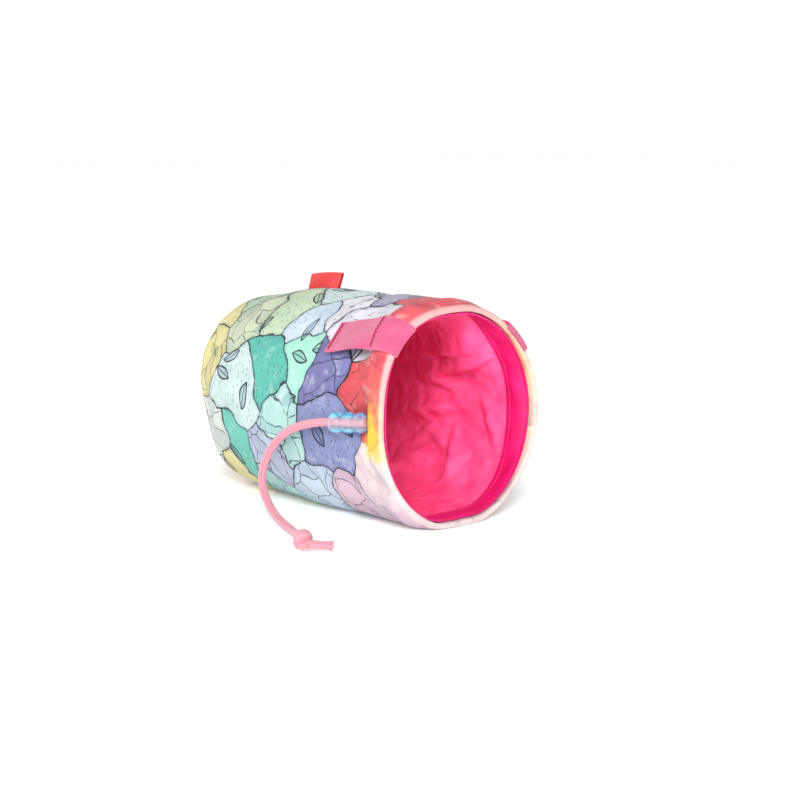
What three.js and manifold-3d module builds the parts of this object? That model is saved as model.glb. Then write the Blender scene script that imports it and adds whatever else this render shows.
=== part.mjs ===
// Treat pouch lying on its side: a printed cloth tube with a round base, a folded casing round the mouth,
// a crumpled lining, two webbing belt loops, a side label, and a drawcord with its lock and knot.
// Millimetres, +Z up. The mouth faces +X, the pouch rests on z = 0 and the cord lies on the -Y side.

import * as THREE from "three";
import { mergeVertices } from "three/addons/utils/BufferGeometryUtils.js";
import Module from "manifold-3d";

const wasm = await Module();
wasm.setup();

// Driving dimensions
const rimX = 88; // front edge of the mouth
const casingWidth = 14.4; // casing from the rim back to its seam
const seamX = rimX - casingWidth;
const baseX = -85; // plane of the round base
const baseCorner = 10.4; // radius where the side turns into the base
const baseBulge = 1.5; // how far the middle of the base swells out
const baseLean = 0.1; // the base leans back: shift along X for each unit of height
const leanReach = 86; // how far forward of the base the lean fades out
const leanPivotZ = 54;
const baseLift = 3.2; // the base end rises off the floor
const liftReach = 48;
const liftFadeHeight = 120;
const floorSink = 1.8; // how much of the round section is flattened away underneath
const clothGap = 0.35; // clear space between neighbouring pieces

const shellThick = 1.4;
const basePanelThick = 1.6;
const casingProud = 0.8; // casing's outer face above the shell's
const casingDepth = 2.6; // casing's inner face below the shell's outer face
const facingThick = 1.0;
const facingSetback = 2.4; // facing's front edge behind the rim
const liningDepth = 1.9;
const liningThick = 1.0;

const webWidth = 19;
const webThick = 1.6;
const webWrap = 110; // degrees that the webbing wraps round the rim's nose
// Places of the two loops round the mouth, in degrees: the near one is sewn a little askew
const loopTurns = { near: { rear: 139.5, front: 133 }, far: { rear: 46, front: 46 } };

const label = { x: -29.2, turn: 88, width: 25.5, height: 8.7, thick: 1.2, skew: 3.3 };

const cordDiameter = 4.5;
const lock = { length: 23, ribs: 3, ribRadius: 5.2, waistRadius: 4.3, boreRadius: 2.6 };
const lockStart = new THREE.Vector3(73, -53.2, 59.6); // lock's end at the casing seam
const lockEnd = new THREE.Vector3(51, -59.2, 57.9);
const knotCentre = new THREE.Vector3(74.6, -96.3, 5.5);
const knotRing = 3.1; // radius of each turn of the knot, at the cord's middle
const tailEnd = new THREE.Vector3(84.3, -85.4, 2.8);
const tailFlare = { radius: 2.7, length: 3 }; // the sealed, cut end

const facetsAround = 44;
const sideSteps = 14;
const cordSides = 10;

// Cross-sections along the pouch: half width, height, and the fullness of the corners, where 2 is round.
// near is the upper corner on the cord's side, far the upper corner behind it, low the underside.
const sections = [
  { x: baseX, halfWidth: 52.9, height: 108.4, near: 2.18, far: 2.1, low: 2.45 },
  { x: 1.5, halfWidth: 56.6, height: 118.0, near: 2.2, far: 1.96, low: 2.6 },
  { x: seamX, halfWidth: 52.6, height: 119.6, near: 3.6, far: 1.88, low: 2.5 },
  { x: rimX, halfWidth: 56.5, height: 116.4, near: 2.6, far: 1.87, low: 1.93 },
];

// Dents in the body: place along and round the pouch, half length along X, half width round it, depth.
const dents = [
  { name: "bed of the cord lock", x: 70, turn: 178, along: 15, across: 9, depth: 5.8 },
  { name: "crease behind the loops", x: 22, turn: 100, along: 8, across: 24, depth: 3.0 },
  { name: "seat under the near loop", x: 58, turn: 134, along: 11.5, across: 18, depth: 8.6 },
  { name: "seat under the far loop", x: 58, turn: 48, along: 11.5, across: 18, depth: 8.6 },
  { name: "swell under the label", x: -32, turn: 88, along: 22, across: 32, depth: -1.6 },
  { name: "slack base corner", x: -82, turn: 197, along: 14, across: 22, depth: 3.0 },
];

// Folds of the lining, all towards the inside. lean turns a fold from the pouch's length towards its girth.
const folds = [
  { name: "slack roof", x: 5, turn: 92, lean: 0, along: 55, across: 42, depth: 6.0 },
  { name: "slack far wall", x: 5, turn: 2, lean: 0, along: 45, across: 26, depth: 4.5 },
  { name: "long fan fold", x: 33, turn: 30, lean: 23, along: 34, across: 6, depth: 6.0 },
  { name: "short fan fold", x: 14, turn: 11, lean: -11, along: 20, across: 6, depth: 5.0 },
  { name: "level fold", x: 8, turn: -15, lean: 10, along: 32, across: 6, depth: 5.0 },
  { name: "swirl top", x: 22, turn: -28, lean: -35, along: 14, across: 6, depth: 4.5 },
  { name: "swirl front", x: 34, turn: -42, lean: -75, along: 14, across: 6, depth: 4.0 },
  { name: "front crease", x: 56, turn: -20, lean: -62, along: 13, across: 5, depth: 3.5 },
  { name: "low crease", x: -8, turn: -52, lean: 20, along: 20, across: 7, depth: 4.0 },
  { name: "near wall fold", x: 10, turn: 170, lean: -15, along: 32, across: 8, depth: 4.5 },
  { name: "near roof fold", x: 30, turn: 128, lean: 18, along: 26, across: 8, depth: 4.0 },
  { name: "deep cross fold", x: -42, turn: 60, lean: 70, along: 34, across: 8, depth: 5.0 },
];

// A belt loop's inner face: place along X, height over the body's plain surface, and how flat the web is.
const loopRows = [
  { x: 40.5, height: 0.2, flat: 1 },
  { x: 44, height: -0.1, flat: 1 },
  { x: 47.5, height: -0.2, flat: 1 },
  { x: 52, height: 0.2, flat: 1 },
  { x: 61, height: 0.4, flat: 1 },
  { x: 68, height: 0.6, flat: 0.8 },
  { x: 74.5, height: 1.2, flat: 0 },
  { x: 80, height: 1.2, flat: 0 },
];

// The drawcord's route, from the casing through the lock, down to the floor and along it to the knot.
const cordRoute = [
  [72.6, -53.31, 59.57], [67, -54.84, 59.14], [61, -56.47, 58.67], [55.5, -57.97, 58.25],
  [51, -59.2, 57.9], [46, -60.3, 57.4], [40.6, -61.2, 56.4], [31, -62.4, 53.9], [21, -63.3, 49.9],
  [12.7, -64, 44.3], [5.8, -64.8, 37.4], [1.5, -65.8, 29.4], [1, -67.2, 22], [4.5, -69, 15.3],
  [12, -71, 9], [22.5, -73.8, 4.7], [36, -77.6, 2.8], [50.7, -83, 2.7], [62, -89, 3.7], [68.9, -92.9, 4.8],
];

const radians = THREE.MathUtils.degToRad;
const { clamp, lerp } = THREE.MathUtils;

// Slope of a column at a row, level where the column peaks, so that the curve never overshoots
function slopeAt(column, row) {
  const rise = (i) => (sections[i + 1][column] - sections[i][column]) / (sections[i + 1].x - sections[i].x);
  const before = rise(Math.max(row - 1, 0));
  const after = rise(Math.min(row, sections.length - 2));
  return before * after <= 0 ? 0 : (2 * before * after) / (before + after);
}

// A column of the section table, smooth along X
function sectionValue(column, x) {
  let row = 0;
  while (row < sections.length - 2 && x > sections[row + 1].x) row += 1;
  const [from, to] = [sections[row], sections[row + 1]];
  const span = to.x - from.x;
  const t = clamp((x - from.x) / span, 0, 1);
  const ease = t * t * (3 - 2 * t);
  const bendFrom = slopeAt(column, row) * span * t * (1 - t) * (1 - t);
  const bendTo = slopeAt(column, row + 1) * span * t * t * (t - 1);
  return lerp(from[column], to[column], ease) + bendFrom + bendTo;
}

// Distance from the section's middle to the plain surface, and the middle's height
function sectionReach(x, turn) {
  const halfWidth = sectionValue("halfWidth", x);
  const halfHeight = (sectionValue("height", x) + floorSink) / 2;
  const [across, up] = [Math.cos(turn), Math.sin(turn)];
  const corner = up < 0 ? "low" : across < 0 ? "near" : "far";
  const power = sectionValue(corner, x);
  const sum = Math.abs(across / halfWidth) ** power + Math.abs(up / halfHeight) ** power;
  return { reach: sum ** (-1 / power), middleZ: halfHeight - floorSink };
}

// Point of the pouch's wall, depth below its plain outer surface; share runs to 0 at the base's middle
function wallPoint(x, turn, depth, share = 1) {
  const { reach, middleZ } = sectionReach(x, turn);
  const radius = (reach - depth) * share;
  const flatZ = Math.max(middleZ + radius * Math.sin(turn), Math.max(depth, 0));
  const lift = baseLift * clamp(1 - (x - baseX) / liftReach, 0, 1) ** 2;
  const z = flatZ + lift * (1 - flatZ / liftFadeHeight);
  const lean = baseLean * clamp(1 - (x - baseX) / leanReach, 0, 1);
  return new THREE.Vector3(x - lean * (z - leanPivotZ), radius * Math.cos(turn), z);
}

// Total depth at a place from a table of soft, rounded marks
function markDepth(marks, x, turn) {
  const { reach } = sectionReach(x, turn);
  let depth = 0;
  for (const mark of marks) {
    const lean = radians(mark.lean ?? 0);
    const away = THREE.MathUtils.euclideanModulo(turn - radians(mark.turn) + Math.PI, 2 * Math.PI) - Math.PI;
    const [dx, girth] = [x - mark.x, away * reach];
    const along = dx * Math.cos(lean) + girth * Math.sin(lean);
    const across = girth * Math.cos(lean) - dx * Math.sin(lean);
    depth += mark.depth * Math.exp(-((along / mark.along) ** 2) - (across / mark.across) ** 2);
  }
  return depth;
}

// One ring of points round the pouch at a station { x, depth, share }
function wallRing(station, extraDepth) {
  const share = station.share ?? 1;
  if (share === 0) return [wallPoint(station.x, 0, station.depth, 0)];
  return Array.from({ length: facetsAround }, (_, i) => {
    const turn = (2 * Math.PI * i) / facetsAround;
    return wallPoint(station.x, turn, station.depth + extraDepth(station.x, turn) * share, share);
  });
}

const spread = (count, from, to) => Array.from({ length: count + 1 }, (_, i) => lerp(from, to, i / count));
const bodyDents = (x, turn) => markDepth(dents, x, turn);
const liningFolds = (x, turn) => bodyDents(x, turn) + markDepth(folds, x, turn);
const noDents = () => 0;

// Stations along the side, round the base's corner and across the base, depth below the outer surface
const sideStations = (frontX, count, depth) =>
  spread(count, frontX, baseX + baseCorner).map((x) => ({ x, depth }));

const cornerStations = (fromAngle, toAngle, count, depth) =>
  spread(count, radians(fromAngle), radians(toAngle)).map((angle) => ({
    x: baseX + baseCorner - (baseCorner - depth) * Math.sin(angle),
    depth: baseCorner - (baseCorner - depth) * Math.cos(angle),
  }));

const baseStations = (count, depth) =>
  spread(count - 1, 1 - 1 / count, 0).map((share) => ({
    x: baseX + depth - baseBulge * (1 - share * share), depth: baseCorner, share,
  }));

// Closed solid through rings of points, the last joined to the first; a ring of one point is a pole.
// Rings from turnBack on run back inside a wall, and split their facets so that both faces match.
function loft(rings, turnBack = rings.length) {
  const starts = [];
  let total = 0;
  for (const ring of rings) {
    starts.push(total);
    total += ring.length;
  }
  const index = [];
  rings.forEach((ring, i) => {
    const next = (i + 1) % rings.length;
    const sides = Math.max(ring.length, rings[next].length);
    if (sides === 1) return;
    for (let k = 0; k < sides; k += 1) {
      const here = (n) => starts[i] + (n % ring.length);
      const there = (n) => starts[next] + (n % rings[next].length);
      const [hereSplit, thereSplit] = i < turnBack ? [k, k + 1] : [k + 1, k];
      if (ring.length > 1) index.push(here(k), here(k + 1), there(thereSplit));
      if (rings[next].length > 1) index.push(here(hereSplit), there(k + 1), there(k));
    }
  });
  const geometry = new THREE.BufferGeometry().setFromPoints(rings.flat());
  geometry.setIndex(enclosedVolume(rings.flat(), index) < 0 ? index.reverse() : index);
  geometry.computeVertexNormals();
  return geometry;
}

function enclosedVolume(points, index) {
  let volume = 0;
  for (let i = 0; i < index.length; i += 3) {
    const [a, b, c] = [points[index[i]], points[index[i + 1]], points[index[i + 2]]];
    volume += a.dot(b.clone().cross(c)) / 6;
  }
  return volume;
}

// A strip with a cap at each end
function cappedLoft(rings) {
  const middle = (ring) => ring.reduce((sum, p) => sum.add(p), new THREE.Vector3()).divideScalar(ring.length);
  return loft([[middle(rings[0])], ...rings, [middle(rings[rings.length - 1])]]);
}

// Two-sided wall: the outer stations from the mouth inwards, then the inner ones back
function clothWall(stationsAt, depth, thick, extraDepth) {
  const outer = stationsAt(depth);
  const inner = stationsAt(depth + thick).reverse();
  return loft([...outer, ...inner].map((station) => wallRing(station, extraDepth)), outer.length);
}

const baseSeamAngle = 20; // where round the corner the base is sewn in
const baseSeamHalfGap = 1; // degrees

const bodyShell = clothWall((depth) => [
  ...sideStations(seamX - clothGap / 2, sideSteps, depth),
  ...cornerStations(0, baseSeamAngle - baseSeamHalfGap, 2, depth).slice(1),
], 0, shellThick, bodyDents);

const basePanel = clothWall((depth) => [
  ...cornerStations(baseSeamAngle + baseSeamHalfGap, 90, 3, depth),
  ...baseStations(3, depth),
], 0, basePanelThick, bodyDents);

const lining = clothWall((depth) => [
  ...sideStations(seamX - clothGap / 2, sideSteps, depth),
  ...cornerStations(0, 90, 3, depth).slice(1),
  ...baseStations(3, depth),
], liningDepth, liningThick, liningFolds);

// Rounded nose of the casing: middle and radius in the plane of X and depth
const nose = { radius: (casingProud + casingDepth) / 2, depth: (casingDepth - casingProud) / 2 };
nose.x = rimX - nose.radius;

const noseArc = (radius, toAngle, count) =>
  spread(count, 0, radians(toAngle)).map((angle) => ({
    x: nose.x + radius * Math.sin(angle),
    depth: nose.depth - radius * Math.cos(angle),
  }));

const rimCasing = loft([
  ...spread(3, seamX + clothGap / 2, nose.x).slice(0, 3).map((x) => ({ x, depth: -casingProud })),
  ...noseArc(nose.radius, 180, 4),
  ...spread(2, nose.x, seamX + clothGap / 2).slice(1).map((x) => ({ x, depth: casingDepth })),
].map((station) => wallRing(station, noDents)));

const facingOuter = casingDepth + clothGap;
const facingEnds = [rimX - facingSetback, seamX + clothGap];
const rimFacing = loft([
  ...spread(2, ...facingEnds).map((x) => ({ x, depth: facingOuter })),
  ...spread(2, facingEnds[1], facingEnds[0]).map((x) => ({ x, depth: facingOuter + facingThick })),
].map((station) => wallRing(station, noDents)));

// Belt loop: webbing sewn flat behind the rim, arched clear of the body, then folded over the rim's nose
function beltLoop({ rear, front }) {
  const columns = spread(4, -webWidth / 2, webWidth / 2);
  const webPoint = (x, height, flat, side) => {
    const turn = radians(THREE.MathUtils.mapLinear(x, loopRows[0].x, rimX, rear, front));
    const tangent = new THREE.Vector3(0, -Math.sin(turn), Math.cos(turn));
    const { reach } = sectionReach(x, turn);
    const curved = wallPoint(x, turn + side / reach, -height);
    const straight = wallPoint(x, turn, -height).addScaledVector(tangent, side);
    return curved.lerp(straight, flat);
  };
  const faces = (offset) => [
    ...loopRows.map((row) => ({ x: row.x, height: row.height + offset, flat: row.flat })),
    ...noseArc(nose.radius + clothGap + offset, webWrap, 4).map(({ x, depth }) => ({ x, height: -depth, flat: 0 })),
  ];
  const [under, over] = [faces(0), faces(webThick)];
  return cappedLoft(under.map((row, i) => [
    ...columns.map((side) => webPoint(row.x, row.height, row.flat, side)),
    ...columns.toReversed().map((side) => webPoint(over[i].x, over[i].height, over[i].flat, side)),
  ]));
}

// Side label: a thin folded tab that stands on the body and leans towards the mouth
function sideLabel() {
  const turn = radians(label.turn);
  const tangent = new THREE.Vector3(0, -Math.sin(turn), Math.cos(turn));
  const corner = (x, height, side) => {
    const foot = bodyDents(x, turn) - clothGap;
    const point = wallPoint(x, turn, foot - height).addScaledVector(tangent, (side * label.thick) / 2);
    point.x += (label.skew * height) / label.height;
    return point;
  };
  const stations = spread(5, label.x - label.width / 2, label.x + label.width / 2);
  return cappedLoft(stations.map((x) => [
    corner(x, 0, -1), corner(x, 0, 1), corner(x, label.height, 1), corner(x, label.height, -1),
  ]));
}

// Place a piece that was made along +Y so that it starts at one point and runs towards another
function aim(mesh, from, to) {
  const direction = to.clone().sub(from).normalize();
  mesh.quaternion.setFromUnitVectors(new THREE.Vector3(0, 1, 0), direction);
  mesh.position.copy(from);
  return mesh;
}

// Cord lock: a drilled barrel of bulbous ribs
function cordLock() {
  const stepsPerRib = 6;
  const outside = spread(lock.ribs * stepsPerRib, 0, 1).map((t) => {
    const swell = Math.abs(Math.sin(Math.PI * lock.ribs * t)) ** 0.75;
    return new THREE.Vector2(lerp(lock.waistRadius, lock.ribRadius, swell), t * lock.length);
  });
  const bore = [new THREE.Vector2(lock.boreRadius, lock.length), new THREE.Vector2(lock.boreRadius, 0)];
  return new THREE.LatheGeometry([...outside, ...bore, outside[0].clone()], 18);
}

function drawcord() {
  const path = new THREE.CatmullRomCurve3(cordRoute.map((point) => new THREE.Vector3(...point)));
  const section = new THREE.Shape(spread(cordSides, 0, 2 * Math.PI).slice(0, cordSides).map(
    (angle) => new THREE.Vector2(Math.cos(angle), Math.sin(angle)).multiplyScalar(cordDiameter / 2)));
  return new THREE.ExtrudeGeometry(section, { steps: 24, bevelEnabled: false, extrudePath: path });
}

function toSolid(geometry) {
  geometry.deleteAttribute("normal");
  geometry.deleteAttribute("uv");
  const merged = mergeVertices(geometry);
  return new wasm.Manifold(new wasm.Mesh({
    numProp: 3,
    vertProperties: new Float32Array(merged.attributes.position.array),
    triVerts: new Uint32Array(merged.index.array),
  }));
}

function toGeometry(solid) {
  const { vertProperties, triVerts } = solid.getMesh();
  const geometry = new THREE.BufferGeometry();
  geometry.setAttribute("position", new THREE.BufferAttribute(new Float32Array(vertProperties), 3));
  geometry.setIndex(new THREE.BufferAttribute(new Uint32Array(triVerts), 1));
  geometry.computeVertexNormals();
  return geometry;
}

// Knot: two crossing turns of cord about a full middle, made along +Y
function cordKnot() {
  const turnTilt = radians(32);
  const turnOffset = 1.5;
  const turn = (side) => new THREE.TorusGeometry(knotRing, cordDiameter / 2, 8, 14)
    .rotateX(Math.PI / 2 + side * turnTilt).translate(0, side * turnOffset, 0);
  const core = { width: 4, length: 5.2 };
  const middle = new THREE.SphereGeometry(1, 12, 8).scale(core.width, core.length, core.width);
  return toGeometry(toSolid(turn(1)).add(toSolid(turn(-1))).add(toSolid(middle)));
}

// Tail: the cut end past the knot, a little flared where it was sealed, made along +Y
function cordTail(length) {
  const radius = cordDiameter / 2;
  const flareStart = length - tailFlare.length;
  const profile = [[0, 0], [radius, 0], [radius, flareStart], [tailFlare.radius, length], [0, length]];
  return new THREE.LatheGeometry(profile.map(([r, y]) => new THREE.Vector2(r, y)), cordSides);
}

const finish = (color, roughness, metalness = 0) => new THREE.MeshStandardMaterial({ color, roughness, metalness });
const printedCloth = finish(0xb9cdc8, 0.85);
const baseCloth = finish(0xf0c76a, 0.85);
const casingCloth = finish(0xf5a08f, 0.85);
const liningCloth = finish(0xf0457f, 0.75);
const facingCloth = finish(0xe02d7c, 0.7);
const webbing = finish(0xee7aa6, 0.6);
const cordYarn = finish(0xf2b3c2, 0.7);
const lockPlastic = finish(0x8fcfe0, 0.2);
const labelCloth = finish(0xe2504e, 0.7);

function piece(name, geometry, material) {
  const mesh = new THREE.Mesh(geometry, material);
  mesh.name = name;
  return mesh;
}

const knotExit = cordRoute[cordRoute.length - 1];
const cordDirection = knotCentre.clone().sub(new THREE.Vector3(...knotExit)).normalize();
const tailDirection = tailEnd.clone().sub(knotCentre).normalize();
const tailStart = knotCentre.clone().addScaledVector(tailDirection, knotRing + cordDiameter / 2 + clothGap);

const pouch = new THREE.Group();
pouch.add(
  piece("body_shell", bodyShell, printedCloth),
  piece("base_panel", basePanel, baseCloth),
  piece("rim_casing", rimCasing, casingCloth),
  piece("rim_facing", rimFacing, facingCloth),
  piece("lining", lining, liningCloth),
  piece("belt_loop_near", beltLoop(loopTurns.near), webbing),
  piece("belt_loop_far", beltLoop(loopTurns.far), webbing),
  piece("side_label", sideLabel(), labelCloth),
  piece("drawcord", drawcord(), cordYarn),
  aim(piece("cord_lock", cordLock(), lockPlastic), lockStart, lockEnd),
  aim(piece("cord_knot", cordKnot(), cordYarn), knotCentre, knotCentre.clone().add(cordDirection)),
  aim(piece("cord_tail", cordTail(tailStart.distanceTo(tailEnd)), cordYarn), tailStart, tailEnd),
);

export default pouch;
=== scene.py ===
import math
import bpy
import numpy as np
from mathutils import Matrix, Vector


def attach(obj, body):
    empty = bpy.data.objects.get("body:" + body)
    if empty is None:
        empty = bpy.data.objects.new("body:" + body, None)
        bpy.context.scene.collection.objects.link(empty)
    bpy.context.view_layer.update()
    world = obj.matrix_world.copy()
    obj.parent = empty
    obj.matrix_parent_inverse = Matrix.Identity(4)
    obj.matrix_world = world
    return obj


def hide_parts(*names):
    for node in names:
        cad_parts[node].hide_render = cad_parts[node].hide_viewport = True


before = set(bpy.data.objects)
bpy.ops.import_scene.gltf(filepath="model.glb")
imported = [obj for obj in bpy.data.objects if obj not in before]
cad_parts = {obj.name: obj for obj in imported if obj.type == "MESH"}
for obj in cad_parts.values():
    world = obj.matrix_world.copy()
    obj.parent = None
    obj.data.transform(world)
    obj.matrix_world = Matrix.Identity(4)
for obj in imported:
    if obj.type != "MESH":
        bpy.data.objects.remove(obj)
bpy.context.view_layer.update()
scene = bpy.context.scene
mm = 0.001
print("frame loaded")

# camera at the photo's angle, sizes in metres
view = {
    "position": (0.736295, -0.605083, 0.217845),
    "aim": (0.056207, -0.016294, 0.065452),
    "lens": 77.1,
}


def deselect():
    if bpy.context.object and bpy.context.object.mode != "OBJECT":
        bpy.ops.object.mode_set(mode="OBJECT")
    bpy.ops.object.select_all(action="DESELECT")


def pick(piece):
    deselect()
    piece.select_set(True)
    bpy.context.view_layer.objects.active = piece


def addCamera():
    deselect()
    bpy.ops.object.camera_add(location=view["position"])
    eye = bpy.context.object
    eye.name = "photoCamera"
    look = Vector(view["aim"]) - Vector(view["position"])
    eye.rotation_euler = look.to_track_quat("-Z", "Y").to_euler()
    eye.data.lens = view["lens"]
    eye.data.sensor_width = 36
    eye.data.clip_start = 0.01
    scene.camera = eye


addCamera()
print("camera placed")


# shader maths as Python expressions
class Wire:
    def __init__(self, tree, socket=None):
        self.tree = tree
        self.socket = socket

    def node(self, kind, settings=None, inputs=None, output=0):
        made = self.tree.nodes.new(kind)
        for name, value in (settings or {}).items():
            if name == "stops":
                ramp = made.color_ramp
                while len(ramp.elements) < len(value):
                    ramp.elements.new(1.0)
                for stop, (place, colour) in zip(ramp.elements, value):
                    stop.position = place
                    stop.color = colour
            elif name == "interpolation":
                made.color_ramp.interpolation = value
            else:
                setattr(made, name, value)
        for name, value in (inputs or {}).items():
            if isinstance(value, Wire):
                self.tree.links.new(value.socket, made.inputs[name])
            else:
                made.inputs[name].default_value = value
        return Wire(self.tree, made.outputs[output])

    def out(self, name):
        return Wire(self.tree, self.socket.node.outputs[name])

    def math(self, operation, first, second=0.0, third=0.0):
        return self.node("ShaderNodeMath", {"operation": operation}, {0: first, 1: second, 2: third})

    def __add__(self, other):
        return self.math("ADD", self, other)

    def __radd__(self, other):
        return self.math("ADD", other, self)

    def __sub__(self, other):
        return self.math("SUBTRACT", self, other)

    def __rsub__(self, other):
        return self.math("SUBTRACT", other, self)

    def __mul__(self, other):
        return self.math("MULTIPLY", self, other)

    def __rmul__(self, other):
        return self.math("MULTIPLY", other, self)

    def __truediv__(self, other):
        return self.math("DIVIDE", self, other)

    def __pow__(self, other):
        return self.math("POWER", self, other)

    def __gt__(self, other):
        return self.math("GREATER_THAN", self, other)

    def __lt__(self, other):
        return self.math("LESS_THAN", self, other)

    def __abs__(self):
        return self.math("ABSOLUTE", self)

    def most(self, other):
        return self.math("MAXIMUM", self, other)

    def sine(self):
        return self.math("SINE", self)

    def cosine(self):
        return self.math("COSINE", self)

    def ease(self, low, high, fromValue=0.0, toValue=1.0):
        sockets = {"Value": self, "From Min": low, "From Max": high, "To Min": fromValue, "To Max": toValue}
        return self.node("ShaderNodeMapRange", {"interpolation_type": "SMOOTHSTEP"}, sockets)

    def mix(self, first, second, blend="MIX"):
        settings = {"data_type": "RGBA", "blend_type": blend}
        return self.node("ShaderNodeMix", settings, {0: self, 6: first, 7: second}, 2)

    def ramp(self, stops, interpolation="LINEAR"):
        settings = {"stops": stops, "interpolation": interpolation}
        return self.node("ShaderNodeValToRGB", settings, {"Fac": self})

    def vector(self, operation, second):
        return self.node("ShaderNodeVectorMath", {"operation": operation}, {0: self, 1: second})

    def parts(self):
        split = self.node("ShaderNodeSeparateXYZ", None, {0: self})
        return split, split.out("Y"), split.out("Z")

    def noise(self, scale, detail=2.0, rough=0.5):
        return self.node("ShaderNodeTexNoise", None, {
            "Vector": self, "Scale": scale, "Detail": detail, "Roughness": rough})

    def cells(self, scale, feature="F1", randomness=1.0):
        settings = {"voronoi_dimensions": "2D", "feature": feature}
        return self.node("ShaderNodeTexVoronoi", settings, {
            "Vector": self, "Scale": scale, "Randomness": randomness})


# a colour as it shows in the studio's light, which is brighter than the paint
def tone(red, green, blue, dim=0.62):
    def linear(value):
        share = value / 255
        return dim * (share / 12.92 if share <= 0.04045 else ((share + 0.055) / 1.055) ** 2.4)
    return (linear(red), linear(green), linear(blue), 1.0)


def newFinish(name, **constants):
    finish = bpy.data.materials.new(name)
    finish.use_nodes = True
    shader = finish.node_tree.nodes["Principled BSDF"]
    for socket, value in constants.items():
        shader.inputs[socket.replace("_", " ")].default_value = value
    return finish, Wire(finish.node_tree), shader


def feed(shader, socket, wire):
    wire.tree.links.new(wire.socket, shader.inputs[socket])


def bump(shader, height, strength, distance):
    sockets = {"Height": height, "Strength": strength, "Distance": distance}
    feed(shader, "Normal", height.node("ShaderNodeBump", None, sockets))


def give(piece, finish):
    piece.data.materials.clear()
    piece.data.materials.append(finish)


# the pouch's form, in millimetres: the same sections and dents as the solids
pouch = {
    "rimX": 88.0, "seamX": 73.6, "baseX": -85.0, "baseCorner": 10.4, "baseBulge": 1.5,
    "baseLean": 0.1, "leanReach": 86.0, "leanPivotZ": 54.0,
    "baseLift": 3.2, "liftReach": 48.0, "liftFadeHeight": 120.0, "floorSink": 1.8,
    "gap": 0.35, "meanRadius": 57.5, "baseSeam": 20.0, "baseSeamGap": 1.0,
    "sections": [
        {"x": -85.0, "halfWidth": 52.9, "height": 108.4, "near": 2.18, "far": 2.10, "low": 2.45},
        {"x": 1.5, "halfWidth": 56.6, "height": 118.0, "near": 2.20, "far": 1.96, "low": 2.60},
        {"x": 73.6, "halfWidth": 52.6, "height": 119.6, "near": 3.60, "far": 1.88, "low": 2.50},
        {"x": 88.0, "halfWidth": 56.5, "height": 116.4, "near": 2.60, "far": 1.87, "low": 1.93},
    ],
}
girthCut = 2 * math.pi * pouch["meanRadius"] * mm


def sectionValue(column, x):
    places = np.array([row["x"] for row in pouch["sections"]])
    values = np.array([row[column] for row in pouch["sections"]])
    rise = np.diff(values) / np.diff(places)
    before = np.concatenate([rise[:1], rise])
    after = np.concatenate([rise, rise[-1:]])
    total = np.where(before + after == 0, 1, before + after)
    slope = np.where(before * after <= 0, 0, 2 * before * after / total)
    row = np.clip(np.searchsorted(places, x) - 1, 0, len(places) - 2)
    span = places[row + 1] - places[row]
    t = np.clip((x - places[row]) / span, 0, 1)
    eased = values[row] + (values[row + 1] - values[row]) * t * t * (3 - 2 * t)
    return eased + slope[row] * span * t * (1 - t) ** 2 + slope[row + 1] * span * t * t * (t - 1)


def sectionReach(x, turn):
    halfWidth = sectionValue("halfWidth", x)
    halfHeight = (sectionValue("height", x) + pouch["floorSink"]) / 2
    across, up = np.cos(turn), np.sin(turn)
    upper = np.where(across < 0, sectionValue("near", x), sectionValue("far", x))
    power = np.where(up < 0, sectionValue("low", x), upper)
    total = np.abs(across / halfWidth) ** power + np.abs(up / halfHeight) ** power
    return total ** (-1 / power), halfHeight - pouch["floorSink"]


# a point below the plain outer surface, with the round section eased onto the floor
def wallPoint(x, turn, depth, share=1.0):
    reach, middle = sectionReach(x, turn)
    radius = (reach - depth) * share
    bowl = middle + radius * np.sin(turn)
    floor = np.maximum(depth, 0)
    blend = np.maximum(pouch["floorSink"] - np.abs(bowl - floor), 0) ** 2 / (4 * pouch["floorSink"])
    flat = np.maximum(bowl, floor) + blend
    lift = pouch["baseLift"] * np.clip(1 - (x - pouch["baseX"]) / pouch["liftReach"], 0, 1) ** 2
    z = flat + lift * (1 - flat / pouch["liftFadeHeight"])
    lean = pouch["baseLean"] * np.clip(1 - (x - pouch["baseX"]) / pouch["leanReach"], 0, 1)
    return np.stack([x - lean * (z - pouch["leanPivotZ"]), radius * np.cos(turn), z], -1)


# columns: place along X, turn round it, lean of the mark, half length, half width, depth inwards,
# with a rounded floor, or a sharp crest where its radius is given
bodyDents = [
    (70, 178, 0, 15, 9, 5.8),
    (22, 100, 0, 8, 24, 3.0),
    (58, 134, 0, 11.5, 18, 8.6),
    (58, 48, 0, 11.5, 18, 8.6),
    (-32, 88, 0, 22, 32, -1.6),
    (-82, 197, 0, 14, 22, 3.0),
]


def marks(rows, x, turn, crest=0.0):
    reach = sectionReach(x, turn)[0]
    depth = np.zeros(np.broadcast(x, turn).shape)
    for place, angle, lean, along, across, deep in rows:
        lean = math.radians(lean)
        away = (turn - math.radians(angle) + math.pi) % (2 * math.pi) - math.pi
        dx, girth = x - place, away * reach
        run = dx * math.cos(lean) + girth * math.sin(lean)
        side = girth * math.cos(lean) - dx * math.sin(lean)
        lip = across * (1.0 + 0.6 * np.tanh(side))  # a crested fold is steep below and gentle above
        fall = np.hypot(side, crest) / lip if crest else (side / across) ** 2
        depth = depth + deep * np.exp(-((run / along) ** 2) - fall)
    return depth


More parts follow.
